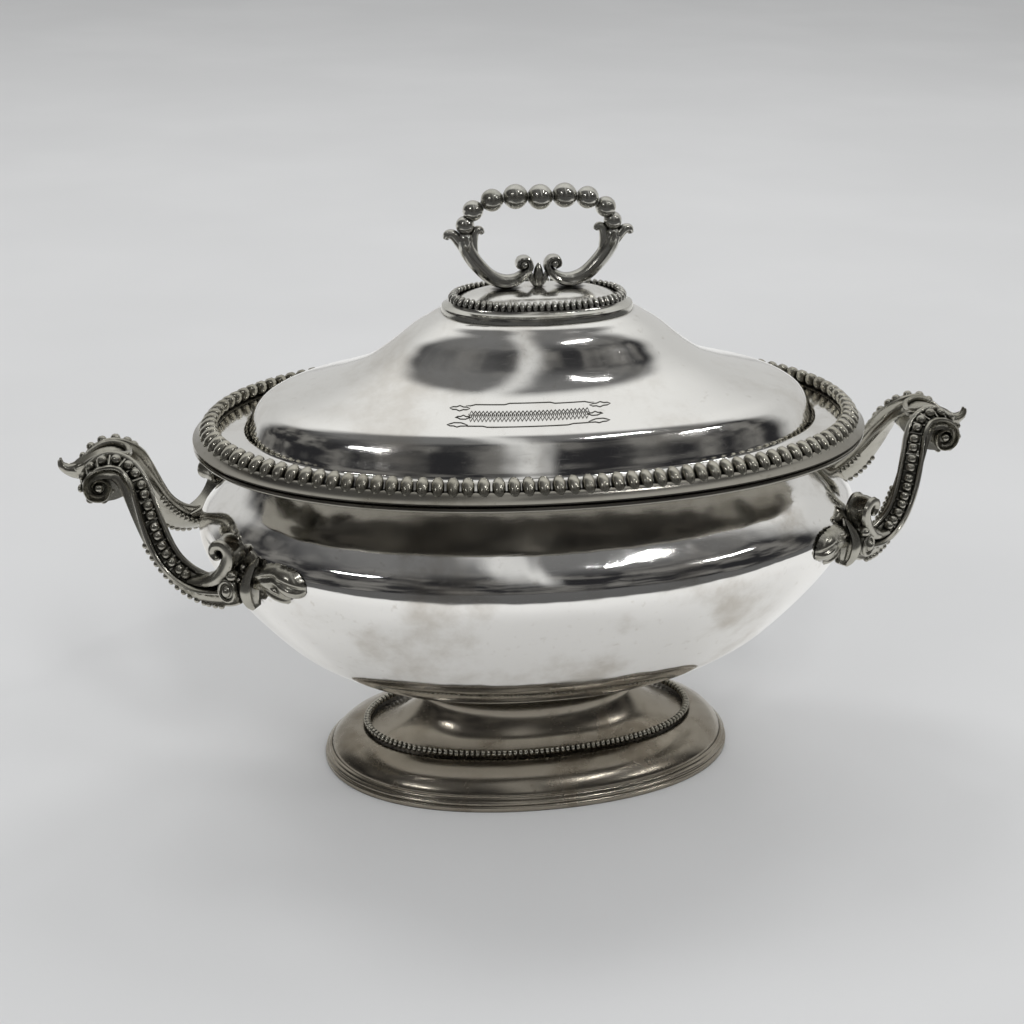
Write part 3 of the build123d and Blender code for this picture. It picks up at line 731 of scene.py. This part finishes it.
engraving = bmesh.new()
for edge in (-1, 1):
    frame_line = [(x, edge * (4.6 + 0.9 * math.cos(x / PANEL_HALF * 1.5))) for x in range(-26, 27, 2)]
    add_cut(engraving, frame_line, CUT)
    teeth = [(TOOTH_PITCH * k, edge * (1.2 + 1.3 * (k % 2))) for k in range(-30, 31)]
    add_cut(engraving, teeth, CUT * 1.1)
    for run, drop, length in LEAF_ENDS:
        for bow in (-0.9, 0.9):
            steps = [k / 6 for k in range(7)]
            leaf_cut = [(edge * (run + length * t), drop + bow * math.sin(math.pi * t)) for t in steps]
            add_cut(engraving, leaf_cut, CUT)
for k in range(-30, 31):
    place = TOOTH_PITCH * k
    add_cut(engraving, [(place - 0.4, -1.2), (place, 0.0), (place + 0.4, 1.2)], CUT * 1.15)
engraved_dark = silver(
    "engraved_dark", (0.16, 0.155, 0.14), (0.09, 0.085, 0.07), (0.03, 0.03, 0.02),
    cloud=0.8, gloss=0.42, ripple=0.02, crevice=0.5, cloud_scale=160.0,
)
bmesh.ops.recalc_face_normals(engraving, faces=engraving.faces)
piece("lid_engraving", engraving, "lid", engraved_dark, "silver_sheet")


# ---- Lid crown ---------------------------------------------------------------------------
# A ring moulding with a bead strip is soldered round the top of the dome. A small domed plate closes
# it and carries the handle.

CROWN_A, CROWN_B = 41.5, 24.5
CROWN_EDGE = [  # outwards from the crown's greatest width, height
    (-8.0, 211.0), (-0.4, 211.0), (0.0, 211.4), (0.0, 213.4), (-0.3, 214.1), (-1.2, 214.5), (-2.2, 214.9),
    (-2.9, 215.6), (-3.2, 216.3), (-5.0, 216.4), (-8.2, 216.2),
]
PLATE_SHEET = 1.2
CROWN_PLATE = [  # half-width, half-depth, height
    (33.8, 16.8, 216.4), (33.7, 16.7, 217.4), (31, 15.2, 218.6), (26, 12.5, 220.0), (20, 9.2, 220.8),
    (10, 4.6, 221.1), (0, 0, 221.1),
]
CROWN_BEAD_A, CROWN_BEAD_B, CROWN_BEAD_Z = 36.6, 19.6, 217.8
CROWN_BEADS = 68
crown_silver = silver(
    "crown_silver", (0.64, 0.63, 0.585), (0.32, 0.30, 0.25), (0.04, 0.036, 0.028),
    cloud=0.6, gloss=0.13, ripple=0.08, crevice=1.0, cloud_scale=60.0,
)
plate_silver = silver(
    "plate_silver", (0.84, 0.83, 0.80), (0.50, 0.46, 0.39), (0.08, 0.07, 0.055),
    cloud=0.6, gloss=0.19, ripple=0.12, crevice=0.8, cloud_scale=60.0,
)
edge_line = [(CROWN_A + out, CROWN_B + out, z) for out, z in CROWN_EDGE]
piece("crown_edge_strip", spun_oval(edge_line, closed=True), "lid", crown_silver, "moulded_silver",
      "lid_crown_moulding")
piece("crown_bead_strip",
      bead_ring(CROWN_BEAD_A, CROWN_BEAD_B, CROWN_BEAD_Z, CROWN_BEADS, (1.34, 2.5, 1.75),
                math.radians(48), 0.4),
      "lid", crown_silver, "beaded_silver", "lid_crown_beading")
plate = walled(spun_oval(smooth_line(CROWN_PLATE, 5)), PLATE_SHEET)
piece("crown_domed_plate", plate, "lid", plate_silver, "silver_sheet", "lid_crown_plate")


# ---- Lid handle --------------------------------------------------------------------------
# A loop handle of two cast C-scrolls, each with a three-leaf cup at its top, joined over the top by a
# bow of nine graded balls. A small three-lobed leaf sits between the scrolls' inner curls.

BALLS = [  # from the middle outwards: outwards, height, radius
    (0, 259.6, 5.35), (10.5, 260.0, 5.25), (20.4, 258.8, 4.75), (28.4, 254.6, 4.4), (31.7, 248.6, 3.9),
]
SCROLL_LINE = [  # outwards, height, depth share, width share
    (-31.8, 243.0, 1.35, 1.2), (-30.8, 239, 1.3, 1.15), (-28.4, 234.6, 1.25, 1.1), (-24.8, 230.2, 1.2, 1.1),
    (-20.2, 226.1, 1.15, 1.1), (-15, 224.1, 1.1, 1.1), (-10.2, 224.5, 0.98, 1.05), (-6.2, 227.0, 0.8, 1.0),
    (-3.9, 230.2, 0.65, 1.0), (-5.0, 233.2, 0.55, 1.0), (-8.0, 233.3, 0.48, 0.95), (-9.0, 230.9, 0.4, 0.9),
    (-7.2, 229.6, 0.34, 0.85),
]
SCROLL_SECTION = [
    (0, 2.4), (1.1, 2.5), (2.0, 2.0), (2.7, 1.2), (2.6, 0.3), (3.1, -0.6), (2.7, -1.8), (1.4, -2.6), (0, -2.8),
]
CUP_LEAVES = [  # each leaf of the cup: points (outwards, across, height) and its widths
    ([(-26.6, 0, 231.0), (-30.6, 0, 236.2), (-33.8, 0, 241.2), (-36.6, 0, 244.6), (-39.0, 0, 244.9),
      (-39.8, 0, 243.0)], (1.0, 1.9, 2.3, 2.2, 1.9, 1.2)),
    ([(-26.6, 0, 234.0), (-27.8, 0, 238.2), (-28.2, 0, 242.2), (-27.4, 0, 245.6), (-25.4, 0, 246.5),
      (-24.2, 0, 244.9)], (1.0, 1.8, 2.1, 2.0, 1.7, 1.0)),
    ([(-30.2, 1.2, 236.0), (-31.2, 2.6, 239.5), (-31.6, 3.4, 242.4), (-31.6, 3.9, 244.6)],
     (1.0, 1.5, 1.4, 0.5)),
    ([(-30.2, -1.2, 236.0), (-31.2, -2.6, 239.5), (-31.6, -3.4, 242.4), (-31.6, -3.9, 244.6)],
     (1.0, 1.5, 1.4, 0.5)),
]


def ball(bm, centre, radius):
    """A turned ball."""
    place = Matrix.Translation(centre)
    bmesh.ops.create_uvsphere(bm, u_segments=40, v_segments=24, radius=radius, matrix=place)


handle_silver = silver(
    "handle_silver", (0.60, 0.59, 0.545), (0.28, 0.27, 0.22), (0.04, 0.04, 0.03),
    cloud=0.7, gloss=0.16, ripple=0.06, crevice=0.9, cloud_scale=70.0,
)
for name, x_side in (("left", 1), ("right", -1)):
    scroll = bmesh.new()
    swept(scroll, both_halves(SCROLL_SECTION), frames_along(upright_line(SCROLL_LINE, 7), across))
    for points, widths in CUP_LEAVES:
        swept_wire(scroll, points, widths)
    ball(scroll, (-31.6, 0, 242.6), 3.6)
    for y_side in (-1, 1):
        ball(scroll, (-6.6, 2.6 * y_side, 231.4), 1.5)
    bmesh.ops.scale(scroll, vec=(x_side * MM, MM, MM), verts=scroll.verts)
    bmesh.ops.recalc_face_normals(scroll, faces=scroll.faces)
    piece(f"handle_{name}_scroll_cast", scroll, "lid", handle_silver, "cast_silver",
          f"lid_handle_{name}_scroll")

balls = bmesh.new()
for x, z, radius in BALLS:
    for x_side in (-1, 1) if x else (1,):
        ball(balls, (x * x_side, 0, z), radius)
joints = [Vector((-x, 0, z)) for x, z, radius in BALLS[::-1]]
joints += [Vector((x, 0, z)) for x, z, radius in BALLS[1:]]
for here, onward in zip(joints, joints[1:]):
    swept_wire(balls, [here, here.lerp(onward, 0.5), onward], [1.7, 1.7, 1.7])
bmesh.ops.scale(balls, vec=(MM, MM, MM), verts=balls.verts)
bmesh.ops.recalc_face_normals(balls, faces=balls.faces)
piece("handle_ball_bow", balls, "lid", handle_silver, "cast_silver", "lid_handle_beads")

LEAF_BLADES = [
    ([(0, 0, 221.0), (0, 0, 225.0), (0, 0, 228.5), (0, 0, 231.4)], (1.5, 2.2, 1.9, 0.5)),
    ([(0.4, 0, 221.5), (2.2, 0, 224.0), (3.2, 0, 226.0), (3.4, 0, 228.0)], (1.2, 1.5, 1.3, 0.4)),
    ([(-0.4, 0, 221.5), (-2.2, 0, 224.0), (-3.2, 0, 226.0), (-3.4, 0, 228.0)], (1.2, 1.5, 1.3, 0.4)),
]
middle = bmesh.new()
for points, widths in LEAF_BLADES:
    swept_wire(middle, points, widths)
bmesh.ops.scale(middle, vec=(MM, MM, MM), verts=middle.verts)
bmesh.ops.recalc_face_normals(middle, faces=middle.faces)
piece("handle_middle_leaf", middle, "lid", handle_silver, "cast_silver", "lid_handle_leaf")

stud_brass = silver(
    "stud_brass", (0.72, 0.58, 0.34), (0.36, 0.27, 0.14), (0.08, 0.06, 0.03),
    cloud=0.6, gloss=0.22, ripple=0.03, crevice=0.9, cloud_scale=120.0,
)
for name in ("lid_handle_studs", "lid_handle_washers", "lid_handle_nuts"):
    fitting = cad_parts[name]
    fitting.data.materials.clear()
    fitting.data.materials.append(stud_brass)


# ---- Floor, light and camera ---------------------------------------------------------------
# A pale sheet under the tureen, a pale room behind and above it, and a darker room in front with tube
# lights and one soft upright light, which the polished metal mirrors. In the metal the sheet shows a painted
# reflection: a lighter grey, and near black in front and at the sides, as if the sheet ended there.

floor_mesh = bpy.data.meshes.new("floor")
floor_bm = bmesh.new()
bmesh.ops.create_grid(floor_bm, x_segments=1, y_segments=1, size=9.0)
floor_bm.to_mesh(floor_mesh)
floor_bm.free()
floor = bpy.data.objects.new("floor", floor_mesh)
bpy.context.scene.collection.objects.link(floor)
floor_material = bpy.data.materials.new("floor_paper")
floor_material.use_nodes = True
paper = Nodes(floor_material.node_tree)
grain = paper.ramp(paper.noise(paper.add("TexCoord").outputs["Object"], 3.0, 3.0), 0.3, 0.8)
tone = paper.blend(grain, (0.66, 0.665, 0.67, 1), (0.70, 0.705, 0.71, 1))
mirrored = paper.add("LightPath").outputs["Is Glossy Ray"]
# Painted reflection: to mirror rays only, the sheet is a lighter grey (0.88).
tone = paper.blend(mirrored, tone, (0.88, 0.88, 0.87, 1))
paper_shader = paper.add("BsdfPrincipled")
paper.feed(paper_shader, Base_Color=tone, Roughness=0.75)
spot = paper.add("SeparateXYZ")
paper.join(paper.add("TexCoord").outputs["Object"], spot.inputs[0])
forwards = paper.maths("MULTIPLY", spot.outputs["Y"], -1.0)
leftwards = paper.maths("MULTIPLY", spot.outputs["X"], -1.0)
front = paper.ramp(forwards, 0.26, 0.30)
sides = paper.maths("MAXIMUM", paper.ramp(leftwards, 0.38, 0.46), paper.ramp(spot.outputs["X"], 0.55, 0.65))
sides = paper.maths("MULTIPLY", sides, paper.ramp(forwards, -0.45, -0.25))
# Painted reflection: to mirror rays only, the sheet in front and at the sides is mixed to a near black shader.
painted_dark_reflection_mask = paper.maths("MULTIPLY", mirrored, paper.maths("MAXIMUM", front, sides))
painted_dark_reflection = paper.add("BsdfPrincipled")
paper.feed(painted_dark_reflection, Base_Color=(0.10, 0.10, 0.10, 1), Roughness=0.8)
floor_and_painted_reflection = paper.add("MixShader")
for socket, value in zip(floor_and_painted_reflection.inputs, (painted_dark_reflection_mask, paper_shader.outputs["BSDF"], painted_dark_reflection.outputs["BSDF"])):
    paper.join(value, socket)
paper_out = paper.add("OutputMaterial")
paper.join(floor_and_painted_reflection.outputs["Shader"], paper_out.inputs["Surface"])
floor_mesh.materials.append(floor_material)

world = bpy.data.worlds.new("pale_room")
bpy.context.scene.world = world
world.use_nodes = True
room = Nodes(world.node_tree)
direction = room.add("TexCoord").outputs["Generated"]
parts = room.add("SeparateXYZ")
room.join(direction, parts.inputs[0])
facing = room.maths("ADD", room.maths("MULTIPLY", parts.outputs["Y"], 0.94),
                    room.maths("MULTIPLY", parts.outputs["X"], 0.34))
squared = room.maths("MULTIPLY", parts.outputs["Z"], parts.outputs["Z"])
behind = room.ramp(room.maths("ADD", facing, room.maths("MULTIPLY", squared, 0.45)), 0.22, 0.50)
clutter = room.ramp(room.noise(direction, 4.2, 3.0), 0.40, 0.66)
dark_side = room.blend(clutter, (0.022, 0.022, 0.024, 1), (0.19, 0.185, 0.175, 1))
high = room.blend(room.ramp(parts.outputs["Z"], 0.60, 0.95), dark_side, (0.17, 0.17, 0.17, 1))
aside = room.maths("ADD", room.maths("MULTIPLY", parts.outputs["X"], 0.9945),
                   room.maths("MULTIPLY", parts.outputs["Y"], 0.1045))
streak = room.ramp(room.maths("SUBTRACT", 0.11, room.maths("ABSOLUTE", aside, 0.0)), 0.0, 0.11)
streak = room.maths("MULTIPLY", streak, room.ramp(parts.outputs["Z"], 0.22, 0.60))
high = room.blend(streak, high, (0.66, 0.66, 0.65, 1))
back = room.blend(room.ramp(parts.outputs["Z"], 0.45, 0.92), (0.60, 0.60, 0.59, 1), (0.86, 0.86, 0.845, 1))
walls = room.blend(behind, high, back)
seen = room.add("LightPath")
diffuse = room.blend(seen.outputs["Is Diffuse Ray"], walls, (0.54, 0.54, 0.54, 1))
final = room.blend(seen.outputs["Is Camera Ray"], diffuse, (0.68, 0.68, 0.68, 1))
background = room.add("Background")
room.feed(background, Color=final, Strength=1.0)
world_out = room.add("OutputWorld")
room.join(background.outputs[0], world_out.inputs["Surface"])


def strip_light(name, place, aim, size, power):
    """A long soft tube light that points at a place."""
    light = bpy.data.lights.new(name, "AREA")
    light.shape = "RECTANGLE"
    light.size, light.size_y = size
    light.energy = power
    lamp = bpy.data.objects.new(name, light)
    bpy.context.scene.collection.objects.link(lamp)
    back = (Vector(place) - Vector(aim)).normalized()
    right = Vector((0, 0, 1)).cross(back).normalized()
    turn = Matrix((right, back.cross(right), back)).transposed().to_4x4()
    lamp.matrix_world = Matrix.Translation(place) @ turn
    return lamp


CENTRE = (0.0, 0.0, 0.12)


def lamp_at(name, turn, rise, distance, size, power):
    """A lamp placed by its direction from the tureen: degrees round from the front, degrees up."""
    turn, rise = math.radians(turn), math.radians(rise)
    level = distance * math.cos(rise)
    place = (level * math.sin(turn), -level * math.cos(turn), distance * math.sin(rise) + CENTRE[2])
    return strip_light(name, place, CENTRE, size, power)


for name, turn, rise, distance, size, power in (
    ("flood", 6, 46, 3.0, (0.4, 0.8), 18), ("top_sheet_left", -150, 58, 2.4, (0.7, 0.7), 10),
    ("top_sheet_right", 140, 52, 2.4, (0.7, 0.7), 8),
):
    lamp_at(name, turn, rise, distance, size, power).visible_glossy = False
lamp_at("tubes_left_far", -46, 38, 3.6, (0.8, 0.04), 5)
lamp_at("tubes_right_near", 40, 56, 3.2, (0.6, 0.035), 4)
lamp_at("tubes_right_far", 54, 36, 3.6, (0.8, 0.05), 5)

camera_data = bpy.data.cameras.new("camera")
camera_data.sensor_width = 36.0
camera_data.lens = 63.65
camera_data.clip_end = 30.0
camera = bpy.data.objects.new("camera", camera_data)
bpy.context.scene.collection.objects.link(camera)
CAMERA_PLACE = Vector((-0.1665, -0.7277, 0.4294))
CAMERA_RIGHT = Vector((0.9788, -0.2041, 0.0165)).normalized()
CAMERA_BACK = Vector((-0.1945, -0.9018, 0.3860)).normalized()
camera_turn = Matrix((CAMERA_RIGHT, CAMERA_BACK.cross(CAMERA_RIGHT), CAMERA_BACK)).transposed().to_4x4()
camera.matrix_world = Matrix.Translation(CAMERA_PLACE) @ camera_turn
bpy.context.scene.camera = camera
bpy.context.scene.view_settings.view_transform = "Standard"
